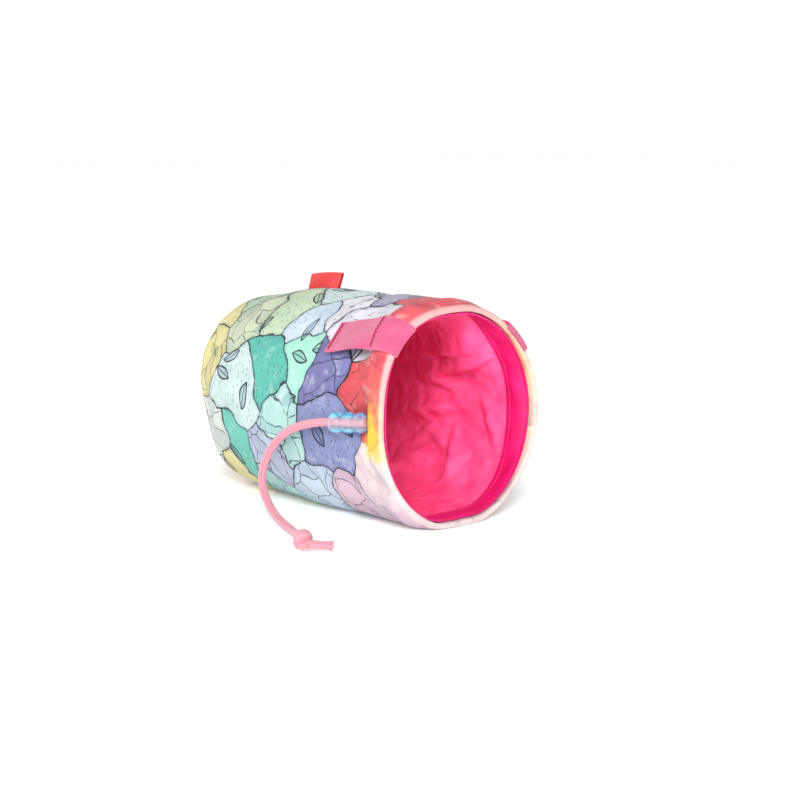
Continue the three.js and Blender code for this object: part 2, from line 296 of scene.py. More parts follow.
# soft irregular waves, the same on each run
def ripple(x, turn, wavelength, seed, count=9):
    dice = np.random.RandomState(seed)
    total = np.zeros(np.broadcast(x, turn).shape)
    for _ in range(count):
        heading = dice.uniform(0, 2 * math.pi)
        around = round(math.sin(heading) * pouch["meanRadius"] / wavelength * 2 * math.pi / 2)
        along = math.cos(heading) * math.pi * 2 / wavelength / 1.5
        total = total + np.sin(along * x + around * turn + dice.uniform(0, 2 * math.pi))
    return total / math.sqrt(count)


# a grid of cloth bent into place: u runs round or across, v along, flat gives its pattern in metres
def clothGrid(name, across, along, place, flat):
    deselect()
    bpy.ops.mesh.primitive_grid_add(x_subdivisions=across, y_subdivisions=along, size=1, calc_uvs=True)
    piece = bpy.context.object
    piece.name = name
    piece.data.name = name
    count = len(piece.data.vertices)
    spots = np.empty(count * 3)
    piece.data.vertices.foreach_get("co", spots)
    u, v = spots.reshape(-1, 3)[:, 0] + 0.5, spots.reshape(-1, 3)[:, 1] + 0.5
    corners = np.empty(len(piece.data.loops), dtype=int)
    piece.data.loops.foreach_get("vertex_index", corners)
    pattern = np.stack(flat(u, v), -1)[corners]
    piece.data.uv_layers[0].name = "clothFlat"
    piece.data.uv_layers[0].data.foreach_set("uv", pattern.ravel())
    piece.data.vertices.foreach_set("co", (place(u, v) * mm).ravel())
    piece.data.update()
    return piece


def sew(piece):
    bpy.context.view_layer.objects.active = piece
    bpy.ops.object.mode_set(mode="EDIT")
    bpy.ops.mesh.select_all(action="SELECT")
    bpy.ops.mesh.remove_doubles(threshold=0.000005)
    bpy.ops.object.mode_set(mode="OBJECT")


def thicken(piece, thick, offset=-1.0):
    pick(piece)
    wall = piece.modifiers.new("wall", "SOLIDIFY")
    wall.thickness = thick * mm
    wall.offset = offset
    bpy.ops.object.modifier_apply(modifier="wall")


sharpAngle = math.radians(50)


def soften(piece, width, segments=2):
    pick(piece)
    edge = piece.modifiers.new("edge", "BEVEL")
    edge.width = width * mm
    edge.segments = segments
    edge.limit_method = "ANGLE"
    edge.angle_limit = sharpAngle
    bpy.ops.object.modifier_apply(modifier="edge")


def smooth(piece):
    pick(piece)
    bpy.ops.object.shade_smooth_by_angle(angle=sharpAngle)


def settle(piece, nodes, finish):
    smooth(piece)
    give(piece, finish)
    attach(piece, "root")
    if nodes:
        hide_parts(*nodes)
    print(piece.name, "made,", len(piece.data.polygons), "faces")


# one stitch, made once and copied along the points of a row, in millimetres
def stitchRow(name, points, outward, share, size, finish):
    deselect()
    bpy.ops.mesh.primitive_uv_sphere_add(segments=8, ring_count=5, radius=0.5)
    one = bpy.context.object
    shape = np.array([vertex.co for vertex in one.data.vertices])
    sides = [tuple(face.vertices) for face in one.data.polygons]
    bpy.ops.object.delete()
    run = points[1:] - points[:-1]
    spots = (points[1:] + points[:-1]) / 2
    heading = run / np.linalg.norm(run, axis=1)[:, None]
    out = outward[:-1] - heading * (outward[:-1] * heading).sum(1)[:, None]
    out /= np.linalg.norm(out, axis=1)[:, None]
    lengths = np.linalg.norm(run, axis=1) * share
    every, faces = [], []
    for spot, ahead, up, length in zip(spots, heading, out, lengths):
        faces += [tuple(k + len(every) * len(shape) for k in face) for face in sides]
        across = np.cross(ahead, up)
        placed = spot + shape[:, :1] * length * ahead
        every.append(placed + shape[:, 1:2] * size * across + shape[:, 2:] * size * up)
    mesh = bpy.data.meshes.new(name)
    mesh.from_pydata((np.vstack(every) * mm).tolist(), [], faces)
    piece = bpy.data.objects.new(name, mesh)
    scene.collection.objects.link(piece)
    settle(piece, [], finish)
    return piece


def threadFinish(name, colour):
    return newFinish(name, Roughness=0.55, Base_Color=colour)[0]


def outwards(turn):
    return np.stack([0 * turn, np.cos(turn), np.sin(turn)], -1)


# the drawcord: route in millimetres from the casing through the lock to the knot
cord = {
    "diameter": 4.5, "sides": 16, "step": 1.1,
    "route": [
        (72.6, -53.31, 59.57), (67, -54.84, 59.14), (61, -56.47, 58.67), (55.5, -57.97, 58.25),
        (51, -59.2, 57.9), (46, -60.3, 57.4), (40.6, -61.2, 56.4), (31, -62.4, 53.9), (21, -63.3, 49.9),
        (12.7, -64, 44.3), (5.8, -64.8, 37.4), (1.5, -65.8, 29.4), (1, -67.2, 22), (4.5, -69, 15.3),
        (12, -71, 9), (22.5, -73.8, 4.7), (36, -77.6, 2.8), (50.7, -83, 2.7), (62, -89, 3.7),
        (68.9, -92.9, 4.8),
    ],
}


def throughPoints(points, step):
    points = np.array(points, float)
    ends = np.vstack([2 * points[0] - points[1], points, 2 * points[-1] - points[-2]])
    run = []
    for a, b, c, d in zip(ends, ends[1:], ends[2:], ends[3:]):
        count = max(2, int(np.linalg.norm(c - b) / step))
        for t in np.arange(count) / count:
            square = (2 * a - 5 * b + 4 * c - d) * t * t
            cube = (3 * b - a - 3 * c + d) * t ** 3
            run.append((2 * b + (c - a) * t + square + cube) / 2)
    run.append(points[-1])
    return np.array(run)


# a closed tube along a path, with its own UV: u round it, v the length run in metres
def sweepTube(name, path, radii, sides):
    path = np.array(path)
    radii = np.broadcast_to(radii, len(path))
    ahead = np.gradient(path, axis=0)
    ahead /= np.linalg.norm(ahead, axis=1)[:, None]
    side = np.cross(ahead[0], (0, 0, 1))
    side /= np.linalg.norm(side)
    rings = []
    for spot, heading, radius in zip(path, ahead, radii):
        side = side - heading * np.dot(side, heading)
        side /= np.linalg.norm(side)
        up = np.cross(heading, side)
        angle = np.arange(sides) / sides * 2 * math.pi
        rings.append(spot + radius * (np.cos(angle)[:, None] * side + np.sin(angle)[:, None] * up))
    points = np.vstack(rings + [path[:1], path[-1:]])
    last = len(path) - 1
    run = np.concatenate([[0], np.cumsum(np.linalg.norm(np.diff(path, axis=0), axis=1))]) * mm
    faces, pattern = [], []
    for i in range(last):
        for k in range(sides):
            j = (k + 1) % sides
            faces.append((i * sides + k, i * sides + j, (i + 1) * sides + j, (i + 1) * sides + k))
            low, high = k / sides, (k + 1) / sides
            pattern += [(low, run[i]), (high, run[i]), (high, run[i + 1]), (low, run[i + 1])]
    for k in range(sides):
        j = (k + 1) % sides
        faces.append((len(points) - 2, j, k))
        faces.append((len(points) - 1, last * sides + k, last * sides + j))
        pattern += [(0.5, 0.0)] * 3 + [(0.5, run[-1])] * 3
    mesh = bpy.data.meshes.new(name)
    mesh.from_pydata((points * mm).tolist(), [], faces)
    mesh.uv_layers.new(name="clothFlat")
    mesh.uv_layers[0].data.foreach_set("uv", np.array(pattern).ravel())
    piece = bpy.data.objects.new(name, mesh)
    scene.collection.objects.link(piece)
    return piece


def cordFinish():
    finish, wire, shader = newFinish("braidedCord", Roughness=0.75, Sheen_Weight=0.25)
    flat = wire.node("ShaderNodeUVMap", {"uv_map": "clothFlat"})
    around, run, _ = flat.parts()
    turns = around * (2 * math.pi)
    lean = run * (2 * math.pi / 0.0052)
    over = (turns * 6 + lean * 2).sine()
    under = (turns * 6 - lean * 2).sine()
    braid = over.most(under)
    # two dark lines along the cord's length: a painted shade line
    paintedShadeLine = abs((turns + 0.4 + (run * 90).sine() * 0.12).sine()).ease(0.06, 0.16, 1.0, 0.0)
    wear = flat.noise(900, 2).ease(0.3, 0.75)
    # the braid is lighter on its strands and darker in the gaps between them: painted shade
    plain = braid.ease(-0.2, 1.0).mix(tone(230, 142, 158, 0.64), tone(240, 158, 174, 0.64))
    worn = (wear * 0.35).mix(plain, tone(252, 190, 200, 0.64))
    feed(shader, "Base Color", (paintedShadeLine * 0.45).mix(worn, tone(206, 96, 124)))
    bump(shader, braid, 0.3, 0.0003)
    return finish


cordPath = throughPoints(cord["route"], cord["step"])
cordYarn = cordFinish()
drawcord = sweepTube("drawcordYarn", cordPath, cord["diameter"] / 2, cord["sides"])
settle(drawcord, ["drawcord"], cordYarn)

# the knot's turns, in millimetres: along the cord, across it and up
knot = {
    "centre": (74.6, -96.3, 5.5), "radius": 2.4, "sides": 14, "tight": 0.86,
    "turns": [
        (-6.4, 0.4, -0.5), (-3.4, 0.2, 0.2), (-0.4, 2.2, 1.4), (2.4, 1.4, 3.0), (2.9, -1.8, 2.6),
        (1.6, -3.5, -0.4), (-1.2, -2.2, -2.6), (-2.9, 1.2, -2.4), (-2.8, 3.4, 0.4), (-1.3, 1.8, 3.3),
        (-0.3, -1.6, 3.4), (0.9, -3.2, 0.3), (1.9, -1.2, -2.3), (3.4, 1.6, -1.6), (5.0, 2.6, -1.5),
    ],
    "tailEnd": (84.3, -85.4, 2.8), "tailRadius": 2.15, "flare": 2.65, "flareFrom": 0.72,
}


def knotAxes():
    along = np.array(knot["centre"]) - cordPath[-1]
    along /= np.linalg.norm(along)
    across = np.cross((0, 0, 1), along)
    across /= np.linalg.norm(across)
    return along, across, np.cross(along, across)


along, across, up = knotAxes()
spread = np.array(knot["turns"]) * (1, knot["tight"], knot["tight"])
turns = np.array(knot["centre"]) + spread @ np.array([along, across, up])
cordKnot = sweepTube("cordKnotTurns", throughPoints(turns, 0.7), knot["radius"], knot["sides"])
settle(cordKnot, ["cord_knot"], cordYarn)

tailPath = throughPoints([turns[-1] - 0.5 * along, (turns[-1] + knot["tailEnd"]) / 2, knot["tailEnd"]], 0.6)
tailReach = np.linspace(0, 1, len(tailPath))
flaring = np.clip((tailReach - knot["flareFrom"]) / (1 - knot["flareFrom"]), 0, 1) ** 2
tailRadii = knot["tailRadius"] + (knot["flare"] - knot["tailRadius"]) * flaring
cordTail = sweepTube("cordTailCut", tailPath, tailRadii, knot["sides"])
settle(cordTail, ["cord_tail"], cordYarn)

# the lock: a clear barrel of bulbous ribs with the cord showing through
lock = {
    "start": (73, -53.2, 59.6), "end": (51, -59.2, 57.9), "length": 23.0, "ribs": 3,
    "ribRadius": 5.6, "waistRadius": 3.9, "boreRadius": 2.5, "segments": 48,
}


def lockFinish():
    finish, wire, shader = newFinish(
        "clearLock", Roughness=0.14, IOR=1.45, Coat_Weight=0.5, Specular_IOR_Level=0.7)
    flat = wire.node("ShaderNodeTexCoord").out("Object")
    along, _, high = flat.parts()
    (nearX, _, nearZ), (farX, _, farZ) = lock["start"], lock["end"]
    level = (along - farX * mm) * ((nearZ - farZ) / (nearX - farX)) + farZ * mm
    # painted shade: the clear barrel is drawn bluer and more opaque towards its top and bottom edges, where
    # clear plastic looks deeper seen edge-on, and pale in its middle; the cloudy blue tint is the plastic's
    # own
    edge = abs(high - level).ease(0.0016, 0.0044)
    cloud = flat.noise(260, 2).ease(0.35, 0.65)
    ice = cloud.mix(tone(60, 176, 226, 0.8), tone(130, 216, 240, 0.9))
    mauve = (along.ease(0.0655, 0.0695) * (1 - cloud * 0.5)).mix(ice, tone(118, 100, 186, 0.8))
    feed(shader, "Base Color", edge.mix(tone(222, 214, 232, 0.8), mauve))
    feed(shader, "Alpha", edge * 0.5 + cloud * 0.12 + 0.16)
    bump(shader, flat.noise(400, 2), 0.1, 0.0003)
    return finish


def makeLock():
    deselect()
    outline = []
    steps = lock["ribs"] * 12
    for i in range(steps + 1):
        t = i / steps
        swell = abs(math.sin(math.pi * lock["ribs"] * t)) ** 0.75
        reach = lock["waistRadius"] + (lock["ribRadius"] - lock["waistRadius"]) * swell
        outline.append((reach, t * lock["length"]))
    outline += [(lock["boreRadius"], lock["length"]), (lock["boreRadius"], 0.0)]
    bpy.ops.mesh.primitive_circle_add(vertices=len(outline), radius=0.001)
    piece = bpy.context.object
    piece.name = "cordLockBarrel"
    for vertex, (reach, height) in zip(piece.data.vertices, outline):
        vertex.co = (reach * mm, 0, height * mm)
    bpy.ops.object.mode_set(mode="EDIT")
    bpy.ops.mesh.select_all(action="SELECT")
    bpy.ops.mesh.spin(steps=lock["segments"], angle=2 * math.pi, center=(0, 0, 0), axis=(0, 0, 1))
    bpy.ops.mesh.select_all(action="SELECT")
    bpy.ops.mesh.remove_doubles(threshold=0.00001)
    bpy.ops.mesh.normals_make_consistent(inside=False)
    bpy.ops.object.mode_set(mode="OBJECT")
    heading = Vector(lock["end"]) - Vector(lock["start"])
    piece.rotation_mode = "QUATERNION"
    piece.rotation_quaternion = heading.to_track_quat("Z", "Y")
    piece.location = Vector(lock["start"]) * mm
    bpy.ops.object.transform_apply(location=True, rotation=True, scale=True)
    return piece


cordLock = makeLock()
settle(cordLock, ["cord_lock"], lockFinish())


# the print: watercolour patches with ink outlines, sprigs and dashes, warm towards the mouth
printed = {
    "patch": 0.034, "stone": 0.0135, "leaf": 0.021, "dash": 0.0040, "line": 0.00060,
    "ink": tone(18, 21, 40),
    "along": [
        (0.00, tone(226, 214, 150, 0.8)), (0.12, tone(208, 216, 184, 0.8)), (0.24, tone(190, 214, 178, 0.8)),
        (0.34, tone(70, 178, 162, 0.8)), (0.44, tone(158, 222, 196, 0.8)), (0.54, tone(206, 222, 236, 0.8)),
        (0.64, tone(104, 106, 164, 0.8)), (0.74, tone(204, 192, 204, 0.8)), (0.84, tone(232, 228, 234, 0.8)),
        (0.94, tone(116, 118, 156, 0.8)),
    ],
    "mouth": [
        (0.00, tone(253, 234, 230, 0.7)), (0.14, tone(253, 224, 214, 0.7)), (0.26, tone(253, 212, 184, 0.8)),
        (0.34, tone(250, 196, 120, 0.8)), (0.42, tone(248, 140, 112, 0.7)), (0.50, tone(246, 76, 92, 0.66)),
        (0.66, tone(246, 76, 90, 0.66)), (0.725, tone(247, 110, 90, 0.68)), (0.755, tone(252, 206, 30, 0.8)),
        (0.79, tone(252, 212, 70, 0.8)), (0.82, tone(253, 230, 226, 0.7)), (0.92, tone(246, 208, 224, 0.7)),
        (1.00, tone(253, 234, 230, 0.7)),
    ],
    "base": [
        (0.0, tone(249, 200, 80, 0.7)), (0.6, tone(250, 214, 128, 0.7)), (0.82, tone(242, 174, 100, 0.7)),
    ],
}


def printFinish(name, onBase):
    finish, wire, shader = newFinish(name, Roughness=0.82, Sheen_Weight=0.1)
    flat = wire.node("ShaderNodeUVMap", {"uv_map": "clothFlat"})
    sway = flat.noise(34, 2, 0.42).out("Color").vector("SUBTRACT", (0.5, 0.5, 0.5))
    bent = flat.vector("ADD", sway.vector("MULTIPLY", (0.034, 0.034, 0.0)))
    patch = bent.cells(1 / printed["patch"])
    chance, shade, kind = patch.out("Color").parts()
    middleU, middleV, _ = patch.out("Position").parts()
    edge = bent.cells(1 / printed["patch"], "DISTANCE_TO_EDGE") * printed["patch"]
    place = (middleV + 0.085 + (chance - 0.5) * 0.062) / 0.165
    wash = place.ramp(printed["along"])
    warm = ((middleU + (shade - 0.5) * 0.012) / girthCut).ramp(printed["mouth"])
    here, run, _ = flat.parts()
    swirl = flat.noise(45, 3).ease(0.2, 0.8, -0.012, 0.012)
    collar = ((here + swirl) / girthCut).ramp(printed["mouth"])
    paint = ((middleV + (chance - 0.5) * 0.03) > 0.060).mix(wash, warm)
    paint = run.ease(0.066, 0.074).mix(paint, collar)
    if onBase:
        paint = chance.ramp(printed["base"], "CONSTANT")
    paint = (shade.ease(0.62, 0.95) * 0.6).mix(paint, tone(240, 238, 242, 0.75))
    stone = bent.cells(1 / printed["stone"])
    stoneEdge = bent.cells(1 / printed["stone"], "DISTANCE_TO_EDGE") * printed["stone"]
    stony = (kind < 0.42) * (edge > 0.0012)
    stoneShade = stone.out("Color").parts()[0].ease(0.1, 0.9)
    paint = (stony * stoneShade * 0.6).mix(paint, (0.66, 0.66, 0.74, 1.0), "MULTIPLY")
    pool = flat.noise(58, 5, 0.62).ease(0.38, 0.66)
    paint = (pool * 0.45).mix(paint, (0.62, 0.70, 0.76, 1.0), "MULTIPLY")
    bloom = flat.noise(120, 4, 0.6).ease(0.52, 0.72)
    paint = (bloom * 0.22).mix(paint, tone(250, 248, 248, 0.8))
    rim = edge.ease(0.0003, 0.0034, 0.42, 0.0)
    paint = rim.mix(paint, (0.50, 0.54, 0.62, 1.0), "MULTIPLY")

    # sprigs turned each its own way
    gentle = flat.vector("ADD", sway.vector("MULTIPLY", (0.007, 0.007, 0.0)))
    leaf = gentle.cells(1 / printed["leaf"], randomness=0.75)
    spin, pick, _ = leaf.out("Color").parts()
    localU, localV, _ = gentle.vector("SUBTRACT", leaf.out("Position")).parts()
    turn = spin * (2 * math.pi)
    reach = localU * turn.cosine() + localV * turn.sine()
    side = abs(localV * turn.cosine() - localU * turn.sine())
    half = 0.0030 * (1 - (reach / 0.0078) ** 2.0)
    inside = (half - side) > 0.0
    grown = pick > 0.56
    outline = (abs(half - side) < printed["line"] * 0.9) * (abs(reach) < 0.0081)
    vein = (side < printed["line"] * 0.5) * inside
    ribs = (abs((reach * 2100 - side * 2100).sine()) < 0.14) * inside
    leafInk = grown * outline.most(vein).most(ribs * 0.55)
    paint = (grown * inside * 0.75).mix(paint, (0.62, 0.72, 0.78, 1.0), "MULTIPLY")

    # short strokes in some of the patches
    stroke = flat.cells(1 / printed["dash"], randomness=0.9)
    strokeSpin, strokePick, _ = stroke.out("Color").parts()
    strokeU, strokeV, _ = flat.vector("SUBTRACT", stroke.out("Position")).parts()
    slant = kind * 3.0 + strokeSpin * 0.9
    strokeRun = abs(strokeU * slant.cosine() + strokeV * slant.sine())
    strokeSide = abs(strokeV * slant.cosine() - strokeU * slant.sine())
    dash = (strokeRun < 0.00085) * (strokeSide < 0.00018) * (strokePick > 0.35) * (kind > 0.55)

    wobble = flat.noise(300, 2).ease(0.3, 0.7, 0.55, 1.35)
    cracks = stony * (stoneEdge < wobble * printed["line"] * 0.6) * 0.85
    ink = (edge < wobble * printed["line"]).most(leafInk * (1 - stony)).most(dash).most(cracks)
    if not onBase:
        ink = ink * run.ease(0.058, 0.070, 1.0, 0.10)
        # a painted highlight: a lighter band along the casing's fold over the rim
        fold = abs(run - 0.0885).ease(0.0014, 0.0042, 0.5, 0.0)
        paint = fold.mix(paint, tone(254, 230, 222, 0.74))
    paint = (ink * 0.96).mix(paint, printed["ink"])
    thread = 2 * math.pi / 0.00075
    threadU, threadV, _ = flat.parts()
    weave = (threadU * thread).sine() * (threadV * thread).sine()
    paint = weave.ease(-1.0, 1.0, 0.0, 0.12).mix(paint, (0.75, 0.75, 0.78, 1.0), "MULTIPLY")
    feed(shader, "Base Color", paint)
    bump(shader, weave * 0.4 + flat.noise(140, 3) * 1.2, 0.35, 0.0004)
    return finish


bodyPrint = printFinish("printedCloth", False)
basePrint = printFinish("printedBase", True)
print("print mixed")

sideRun = pouch["seamX"] - pouch["baseX"] - pouch["baseCorner"]
cornerRun = pouch["baseCorner"] * math.pi / 2
baseRun = 42.5
aroundFrom = -math.pi / 2  # the cloth's own seam lies underneath


# a wall point by its run back from the casing seam: along the side, round the corner, across the base
def wallPlace(run, turn, depth, relief):
    inner = pouch["baseCorner"] - depth
    angle = np.clip((run - sideRun) / pouch["baseCorner"], 0, math.pi / 2)
    share = np.clip(1 - (run - sideRun - cornerRun) / baseRun, 0, 1)
    x = pouch["seamX"] - np.minimum(run, sideRun) - inner * np.sin(angle)
    x = x - pouch["baseBulge"] * (1 - share * share)
    sink = pouch["baseCorner"] - inner * np.cos(angle)
    return wallPoint(x, turn, sink + relief(x, turn) * share, share)


# the printed body: main dents, with the small creases that the seams and the cord pull into it
body = {
    "across": 264, "along": 120, "thick": 1.4, "slack": 0.5, "calmFrom": 12.0, "flat": (-78.2, 73.4),
    "seamPucker": 0.45, "seamReach": 7.0, "baseShare": 0.8, "baseFrom": 8.0, "baseReach": 6.0,
    "creases": [
        (52, 168, -24, 20, 3.0, 1.3), (50, 192, 22, 22, 3.2, 1.2), (60, 205, 12, 16, 3.0, 1.0),
        (30, 118, 62, 15, 3.5, 1.2), (30, 78, 110, 14, 3.5, 1.0), (-2, 104, 80, 18, 5.0, 0.9),
        (-52, 150, 30, 26, 5.0, 0.9), (-62, 205, -20, 18, 4.0, 1.1), (-40, 232, 10, 30, 5.0, 0.9),
        (10, 215, 6, 30, 5.0, 0.8), (-20, 20, 25, 30, 5.0, 1.0), (40, 12, -20, 26, 4.0, 1.0),
        (15, -25, 12, 32, 5.0, 0.9), (-58, 60, -35, 24, 4.5, 0.9), (-60, -10, 20, 24, 4.5, 0.9),
    ],
}


def bodyRelief(x, turn):
    fromSeam = pouch["seamX"] - x
    fromBase = x - pouch["baseX"]
    atBase = np.exp(-np.maximum(fromBase - body["baseFrom"], 0) / body["baseReach"])
    pucker = np.exp(-fromSeam / body["seamReach"]) + body["baseShare"] * atBase
    fine = body["seamPucker"] * pucker * (ripple(x * 0.3, turn, 9, 3) * 0.6 + 0.5)
    calm = np.clip(fromSeam / body["calmFrom"], 0, 1)
    creases = marks(body["creases"], x, turn) * calm
    return marks(bodyDents, x, turn) + creases + fine + body["slack"] * calm * ripple(x, turn, 46, 8)


def bodyPlace(u, v):
    corner = pouch["baseCorner"] * math.radians(pouch["baseSeam"] - pouch["baseSeamGap"])
    run = pouch["gap"] / 2 + (1 - v) * (sideRun + corner - pouch["gap"] / 2)
    return wallPlace(run, aroundFrom + 2 * math.pi * u, 0.0, bodyRelief)


def girthFlat(fromV, toV):
    return lambda u, v: (u * girthCut, (fromV + (toV - fromV) * v) * mm)


bodyShell = clothGrid("bodyShellCloth", body["across"], body["along"], bodyPlace, girthFlat(*body["flat"]))
sew(bodyShell)
thicken(bodyShell, body["thick"])
settle(bodyShell, ["body_shell"], bodyPrint)

# the base: a round panel with its own pattern laid flat across it
base = {"across": 200, "along": 44, "thick": 1.5, "patternAside": 0.3}


def basePlace(u, v):
    start = sideRun + pouch["baseCorner"] * math.radians(pouch["baseSeam"] + pouch["baseSeamGap"])
    run = start + (1 - v) * (sideRun + cornerRun + baseRun - start)
    return wallPlace(run, aroundFrom + 2 * math.pi * u, 0.0, bodyRelief)


def baseFlat(u, v):
    spot = basePlace(u, v) * mm
    return spot[:, 1] + base["patternAside"], spot[:, 2]


basePanel = clothGrid("basePanelCloth", base["across"], base["along"], basePlace, baseFlat)
sew(basePanel)
thicken(basePanel, base["thick"])
settle(basePanel, ["base_panel"], basePrint)

# the casing: cloth folded over at the mouth, open inside where the cord runs
casing = {"across": 264, "along": 40, "thick": 0.75, "proud": 0.8, "depth": 2.6, "pucker": 0.38}
noseRadius = (casing["proud"] + casing["depth"]) / 2
noseDepth = (casing["depth"] - casing["proud"]) / 2
noseX = pouch["rimX"] - noseRadius
casingRun = noseX - pouch["seamX"] - pouch["gap"] / 2
casingFlat = 2 * casingRun + math.pi * noseRadius


def foldPlace(run, turn, proud, pucker):
    angle = np.clip((run - casingRun) / noseRadius, 0, math.pi)
    after = np.maximum(run - casingRun - math.pi * noseRadius, 0)
    x = pouch["seamX"] + pouch["gap"] / 2 + np.minimum(run, casingRun) - after
    x = x + (noseRadius + proud) * np.sin(angle)
    depth = noseDepth - (noseRadius + proud) * np.cos(angle)
    return wallPoint(x, turn, depth + pucker * np.cos(angle))


def casingPucker(run, turn):
    held = np.sin(np.clip(run / casingRun, 0, 1) * math.pi) ** 2
    return casing["pucker"] * held * ripple(run * 0.4, turn, 12, 21)


def casingPlace(u, v):
    turn = aroundFrom + 2 * math.pi * u
    run = v * casingFlat
    return foldPlace(run, turn, 0.0, casingPucker(run, turn))


rimCasing = clothGrid("rimCasingCloth", casing["across"], casing["along"], casingPlace,
                      girthFlat(pouch["seamX"], pouch["seamX"] + casingFlat))
sew(rimCasing)
thicken(rimCasing, casing["thick"])
settle(rimCasing, ["rim_casing"], bodyPrint)

# the facing: a narrow binding inside the mouth, drawn up a little by its stitches
facing = {
    "across": 264, "along": 16, "thick": 0.8, "setback": 2.4, "lap": 2.6, "depth": 3.3, "ruffle": 0.55,
    "dentFade": 9.0, "extra": 1.2, "taper": 1.8, "taperTurn": 0.6,
}
facingRun = pouch["rimX"] - facing["setback"] - pouch["seamX"] - pouch["gap"]


def facingPlace(u, v, over=0.0):
    turn = aroundFrom + 2 * math.pi * u
    taper = facing["taper"] * (1 + np.cos(turn + facing["taperTurn"])) / 2
    reach = facingRun + facing["lap"] + facing["extra"] - taper
    x = pouch["seamX"] - facing["lap"] + v * reach
    ruffle = facing["ruffle"] * np.sin(v * math.pi) ** 2 * (1 + ripple(x * 0.8, turn, 10, 33))
    dented = np.maximum(marks(bodyDents, np.minimum(x, pouch["seamX"]), turn), 0)
    fade = np.clip(1 - (x - pouch["seamX"]) / facing["dentFade"], 0, 1) ** 2
    return wallPoint(x, turn, facing["depth"] + ruffle + dented * fade + over)


def clothFinish(name, deep, light, roughness, thread, crease, ridges=0.0):
    finish, wire, shader = newFinish(name, Roughness=roughness)
    flat = wire.node("ShaderNodeUVMap", {"uv_map": "clothFlat"})
    threadU, threadV, _ = flat.parts()
    pitch = 2 * math.pi / thread
    weave = (threadU * pitch).sine() * (threadV * pitch).sine()
    cloud = flat.noise(90, 3)
    paint = (cloud.ease(0.3, 0.75) * 0.7 + weave * 0.12).mix(deep, light)
    feed(shader, "Base Color", paint)
    height = weave * 0.35 + flat.noise(160, 3) * crease
    if ridges:
        sharp = 1 - abs(flat.noise(42, 2, 0.4) * 2 - 1)
        height = height + sharp ** 6.0 * ridges
    bump(shader, height, 0.4, 0.0005)
    return finish


facingPaint = (tone(226, 4, 104, 0.8), tone(246, 14, 130, 0.8))
facingCloth = clothFinish("facingBinding", *facingPaint, 0.55, 0.0011, 1.4)
rimFacing = clothGrid("rimFacingBinding", facing["across"], facing["along"], facingPlace,
                      girthFlat(pouch["seamX"], pouch["rimX"] - facing["setback"]))
sew(rimFacing)
thicken(rimFacing, facing["thick"])
settle(rimFacing, ["rim_facing"], facingCloth)

facingThread = threadFinish("facingThread", tone(246, 78, 146, 0.75))
ring = np.linspace(0, 1, 151)
for name, place in (("facingStitchesRear", 0.2), ("facingStitchesFront", 0.86)):
    row = facingPlace(ring, place + 0 * ring, facing["thick"])
    inwards = -outwards(aroundFrom + 2 * math.pi * ring)
    stitchRow(name, row, inwards, 0.68, 0.5, facingThread)

# the lining: a slack inner bag, folded and crumpled inside the body
lining = {
    "across": 136, "along": 80, "thick": 0.8, "depth": 1.95, "flat": (-127.0, 73.4),
    "clear": 0.4, "calmFrom": 8.0, "foldsFrom": 14.0, "crumple": 0.5, "middleZ": 58.0,
    "heldFrom": 69.0, "hold": 0.25, "growth": 0.03, "frames": 30,
    "most": 3.0, "drift": 2.0, "outShare": 0.6,
    "billows": [(5, 92, 0, 55, 42, 6.0), (5, 2, 0, 45, 26, 2.5)],
    "overSeats": [(52, 46, 0, 24, 26, 8.0), (52, 134, 0, 24, 26, 8.0)],
    "crest": 0.7,
    "folds": [
        (36, 21, 20, 34, 5.5, 10.0), (20, 7, -8, 16, 4.5, 6.0), (30, 35, 20, 32, 6, 6.0),
        (39, -4, 13, 22, 5, 2.5), (8, -15, 10, 32, 6, 10.0), (60, -18, -66, 12, 4.5, 6.0),
        (8, -28, 28, 13, 4, 4.5), (24, -34, -25, 11, 5, 6.5), (36, -42, -75, 13, 5, 7.0),
        (13, -38, 15, 12, 4, 4.5), (40, -47, 65, 10, 4, 4.0), (4, -47, -10, 20, 5, 4.5),
        (-8, -52, 20, 20, 7, 4.5), (10, 170, -15, 32, 8, 4.5), (30, 128, 18, 26, 8, 4.0),
        (-42, 60, 70, 34, 8, 5.0),
    ],
}


def liningSlack(x, turn):
    fromSeam = np.clip((pouch["seamX"] - x) / lining["foldsFrom"], 0, 1)
    crumple = np.maximum(lining["crumple"] * (1 + ripple(x, turn, 40, 51)), 0)
    folds = marks(lining["billows"], x, turn) + marks(lining["folds"], x, turn, lining["crest"])
    return (folds + crumple) * fromSeam


def liningRelief(x, turn):
    calm = np.clip((pouch["seamX"] - x) / lining["calmFrom"], 0, 1)
    pressed = np.maximum(bodyRelief(x, turn), marks(lining["overSeats"], x, turn))
    pressed = np.maximum(pressed * calm, np.maximum(marks(bodyDents, x, turn), 0))
    return pressed + liningSlack(x, turn) + lining["clear"] * calm


def liningPlace(u, v):
    run = pouch["gap"] / 2 + (1 - v) * (sideRun + cornerRun + baseRun - pouch["gap"] / 2)
    return wallPlace(run, aroundFrom + 2 * math.pi * u, lining["depth"], liningRelief)


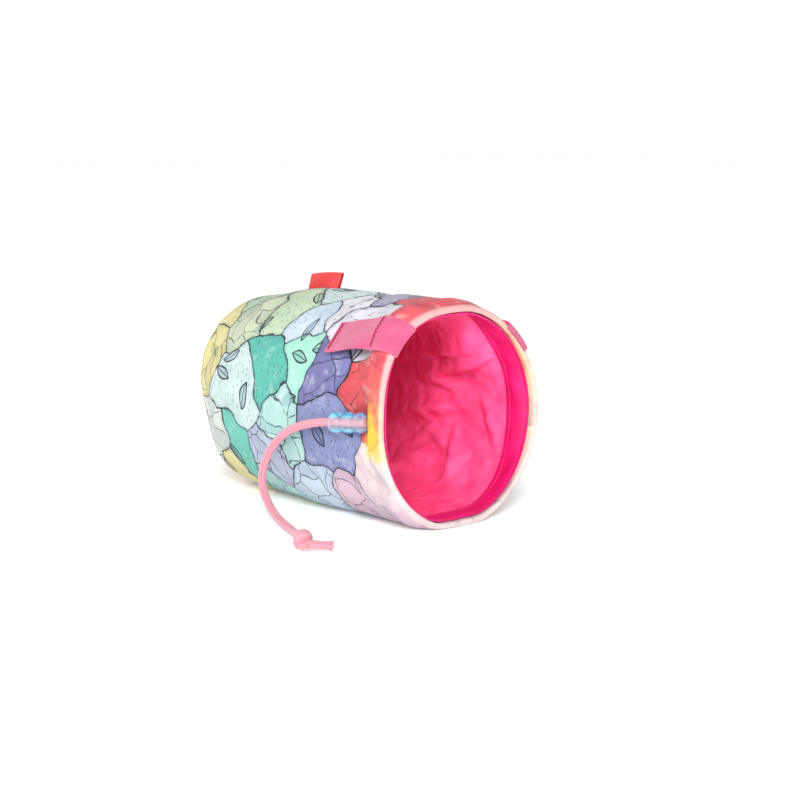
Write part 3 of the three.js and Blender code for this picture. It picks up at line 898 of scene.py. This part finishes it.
# the slack cloth grows a little and buckles, with caps on how far a point may move
def crumpleCloth(piece):
    pick(piece)
    count = len(piece.data.vertices)
    start = np.empty(count * 3)
    piece.data.vertices.foreach_get("co", start)
    start = start.reshape(-1, 3)
    inward = np.empty(count * 3)
    piece.data.vertices.foreach_get("normal", inward)
    inward = -inward.reshape(-1, 3)
    pins = piece.vertex_groups.new(name="held")
    for i in range(count):
        sewn = start[i, 0] > lining["heldFrom"] * mm
        pins.add([i], 1.0 if sewn else lining["hold"], "REPLACE")
    cloth = piece.modifiers.new("crumple", "CLOTH")
    cloth.settings.quality = 5
    cloth.settings.mass = 0.08
    cloth.settings.tension_stiffness = 12
    cloth.settings.compression_stiffness = 12
    cloth.settings.shear_stiffness = 4
    cloth.settings.bending_stiffness = 0.6
    cloth.settings.shrink_min = -lining["growth"]
    cloth.settings.vertex_group_mass = "held"
    cloth.settings.effector_weights.gravity = 0.0
    cloth.point_cache.frame_start = 1
    cloth.point_cache.frame_end = lining["frames"]
    for step in range(1, lining["frames"] + 1):
        scene.frame_set(step)
    bpy.ops.object.modifier_apply(modifier="crumple")
    scene.frame_set(1)
    end = np.empty(count * 3)
    piece.data.vertices.foreach_get("co", end)
    moved = end.reshape(-1, 3) - start
    depth = (moved * inward).sum(1)
    along = moved - depth[:, None] * inward
    run = np.linalg.norm(along, axis=1)
    turn = np.arctan2(start[:, 2] / mm - lining["middleZ"], start[:, 1] / mm)
    room = liningSlack(start[:, 0] / mm, turn) * mm
    depth = np.clip(depth, -room * lining["outShare"], lining["most"] * mm)
    along *= np.minimum(1, lining["drift"] * mm / np.maximum(run, 1e-9))[:, None]
    piece.data.vertices.foreach_set("co", (start + along + depth[:, None] * inward).ravel())
    piece.data.update()
    piece.vertex_groups.clear()
    print("lining crumpled, most", round(float(depth.max()) / mm, 1), "mm inwards")


liningPaint = (tone(252, 72, 136, 0.95), tone(255, 104, 162, 0.95))
liningCloth = clothFinish("liningNylon", *liningPaint, 0.5, 0.0007, 0.6, 2.0)
innerBag = clothGrid("liningCloth", lining["across"], lining["along"], liningPlace,
                     girthFlat(*lining["flat"]))
sew(innerBag)
crumpleCloth(innerBag)
fine = innerBag.modifiers.new("fine", "SUBSURF")
fine.levels = 1
fine.render_levels = 1
bpy.ops.object.modifier_apply(modifier="fine")
thicken(innerBag, lining["thick"])
settle(innerBag, ["lining"], liningCloth)

# the belt loops: webbing sewn flat behind the rim, arched clear, then folded over the mouth's edge
loop = {
    "across": 22, "along": 120, "width": 19.0, "thick": 1.6, "wrap": 110.0, "rearX": 40.5,
    "near": (139.5, 133.0), "far": (46.0, 46.0), "flatLength": 55, "edge": 0.45,
    "stitches": (("Rear", 0.045), ("Front", 0.64)), "swing": 0.018, "lift": 0.15,
    "rows": [
        (40.5, 0.2, 1.0), (44.0, -0.1, 1.0), (47.5, -0.2, 1.0), (52.0, 0.2, 1.0), (61.0, 0.4, 1.0),
        (68.0, 0.6, 0.8), (74.5, 1.2, 0.0), (80.0, 1.2, 0.0),
    ],
}


def webbingFinish():
    finish, wire, shader = newFinish("rosyWebbing", Roughness=0.5, Sheen_Weight=0.3)
    flat = wire.node("ShaderNodeUVMap", {"uv_map": "clothFlat"})
    across, run, _ = flat.parts()
    ribs = (across * (2 * math.pi / 0.0013)).sine()
    picks = (run * (2 * math.pi / 0.0009) + (ribs > 0.0) * math.pi).sine()
    cord = abs(ribs) * 0.7 + picks * 0.3
    # darker between the ribs and picks, lighter on their crests: painted shade in the weave's grooves
    paint = cord.ease(0.0, 1.0).mix(tone(214, 56, 116), tone(240, 98, 150))
    paint = (flat.noise(120, 3).ease(0.35, 0.75) * 0.3).mix(paint, tone(248, 130, 172))
    feed(shader, "Base Color", paint)
    bump(shader, cord, 0.5, 0.0004)
    return finish


# rows of the table made smooth along the strap
def loopColumn(index, x):
    rows = np.array(loop["rows"])
    fine = np.linspace(loop["rearX"], noseX, 200)
    rough = np.interp(fine, rows[:, 0], rows[:, index])
    kernel = np.exp(-np.linspace(-2, 2, 21) ** 2)
    padded = np.concatenate([np.full(10, rough[0]), rough, np.full(10, rough[-1])])
    return np.interp(x, fine, np.convolve(padded, kernel / kernel.sum(), "valid"))


def loopPlace(turns, over):
    arcRadius = noseRadius + pouch["gap"] + over
    flatRun = noseX - loop["rearX"]
    total = flatRun + arcRadius * math.radians(loop["wrap"])

    def place(u, v):
        run = v * total
        angle = np.maximum(run - flatRun, 0) / arcRadius
        flatX = loop["rearX"] + np.minimum(run, flatRun)
        x = flatX + arcRadius * np.sin(angle)
        height = np.where(angle > 0, arcRadius * np.cos(angle) - noseDepth, loopColumn(1, flatX) + over)
        turn = np.radians(np.interp(x, [loop["rearX"], pouch["rimX"]], turns))
        side = (u - 0.5) * loop["width"]
        curved = wallPoint(x, turn + side / sectionReach(x, turn)[0], -height)
        lean = np.stack([0 * turn, -np.sin(turn), np.cos(turn)], -1)
        straight = wallPoint(x, turn, -height) + side[:, None] * lean
        return curved + (straight - curved) * loopColumn(2, flatX)[:, None]
    return place


def loopFlat(u, v):
    return u * loop["width"] * mm, v * loop["flatLength"] * mm


webbing = webbingFinish()
loopThread = threadFinish("loopThread", tone(176, 14, 74, 0.6))
zigzag = np.linspace(0.06, 0.94, 15)
for node, turns in (("belt_loop_near", loop["near"]), ("belt_loop_far", loop["far"])):
    name = "beltLoopNear" if node.endswith("near") else "beltLoopFar"
    strap = clothGrid(name, loop["across"], loop["along"], loopPlace(turns, 0.0), loopFlat)
    thicken(strap, loop["thick"], 1.0)
    soften(strap, loop["edge"])
    settle(strap, [node], webbing)
    for part, middle in loop["stitches"]:
        swing = middle + loop["swing"] * (-1.0) ** np.arange(len(zigzag))
        points = loopPlace(turns, loop["thick"] + loop["lift"])(zigzag, swing)
        facingOut = outwards(np.full(len(zigzag), math.radians(sum(turns) / 2)))
        row = stitchRow(name + "Stitches" + part, points, facingOut, 0.95, 0.85, loopThread)

# the side label: a folded satin tab caught in the cloth
label = {
    "across": 40, "along": 40, "x": -29.2, "turn": 88.0, "width": 25.5, "height": 8.7, "thick": 1.2,
    "skew": 3.3, "satin": 0.4, "inset": 0.1, "wave": 0.25,
}


def labelPlace(u, v):
    turn = math.radians(label["turn"])
    x = label["x"] + (u - 0.5) * label["width"]
    fold = label["thick"] / 2 - label["inset"]
    straight = label["height"] - fold
    run = (v - 0.5) * (2 * straight + math.pi * fold)
    angle = np.clip(run / fold, -math.pi / 2, math.pi / 2)
    height = straight + fold * np.cos(angle) - np.maximum(np.abs(run) - fold * math.pi / 2, 0)
    side = fold * np.sin(angle) + label["wave"] * np.sin(u * 5.0) * height / label["height"]
    foot = marks(bodyDents, x, turn + 0 * x) - pouch["gap"]
    spot = wallPoint(x, turn + 0 * x, foot - height)
    spot = spot + side[:, None] * np.array([0, -math.sin(turn), math.cos(turn)])
    spot[:, 0] += label["skew"] * height / label["height"]
    return spot


labelSatin = clothFinish("labelSatin", tone(222, 50, 52, 0.85), tone(240, 86, 84, 0.85), 0.45, 0.0006, 0.6)
sideLabel = clothGrid("sideLabelTab", label["across"], label["along"], labelPlace,
                      lambda u, v: (u * 0.027, v * 0.02))
thicken(sideLabel, label["satin"])
settle(sideLabel, ["side_label"], labelSatin)

# the casing's cut length, in metres, worked out and left unused
round(casingFlat * mm, 4)

# a pale glowing floor, its glow dimmed round the pouch as a painted contact shadow, and soft studio light
studio = {"floor": 12.0, "sky": 0.56, "backdrop": 1.02, "glow": 0.46, "key": 13.0, "side": 4.0}


def addFloor():
    deselect()
    bpy.ops.mesh.primitive_plane_add(size=studio["floor"], location=(0, 0, -0.0003))
    floor = bpy.context.object
    floor.name = "studioFloor"
    bpy.ops.object.transform_apply(location=True)
    paper, wire, shader = newFinish("paleFloor", Roughness=0.9, Base_Color=(0.95, 0.95, 0.95, 1.0),
                                    Emission_Strength=studio["glow"])
    # the floor's glow dims close to the pouch: a painted contact shadow
    spot = wire.node("ShaderNodeTexCoord").out("Object").vector("MULTIPLY", (9.0, 14.0, 0.0))
    away = spot.node("ShaderNodeVectorMath", {"operation": "LENGTH"}, {0: spot}, 1)
    feed(shader, "Emission Color", away.ease(0.7, 1.9).mix((0.25, 0.25, 0.25, 1.0), (1.0, 1.0, 1.0, 1.0)))
    give(floor, paper)


def addLamp(name, spot, aim, size, power):
    deselect()
    bpy.ops.object.light_add(type="AREA", location=spot)
    lamp = bpy.context.object
    lamp.name = name
    lamp.data.size = size
    lamp.data.energy = power
    lamp.rotation_euler = (Vector(aim) - Vector(spot)).to_track_quat("-Z", "Y").to_euler()


# the backdrop shows white, and lights the pouch a little less
def addSky():
    sky = bpy.data.worlds.new("studioSky")
    sky.use_nodes = True
    wire = Wire(sky.node_tree)
    seen = wire.node("ShaderNodeLightPath")
    fill = wire.node("ShaderNodeBackground", None, {"Color": (1, 1, 1, 1), "Strength": studio["sky"]})
    white = wire.node("ShaderNodeBackground", None, {"Color": (1, 1, 1, 1), "Strength": studio["backdrop"]})
    both = wire.node("ShaderNodeMixShader", None, {0: seen, 1: fill, 2: white})
    sky.node_tree.links.new(both.socket, sky.node_tree.nodes["World Output"].inputs["Surface"])
    scene.world = sky


addFloor()
addSky()
addLamp("keySoftbox", (0.78, -0.66, 0.52), (0.03, 0, 0.06), 0.34, studio["key"])
addLamp("sideSoftbox", (-0.3, -0.9, 0.8), (0, 0, 0.06), 0.8, studio["side"])
scene.view_settings.view_transform = "Standard"
print("studio lit")
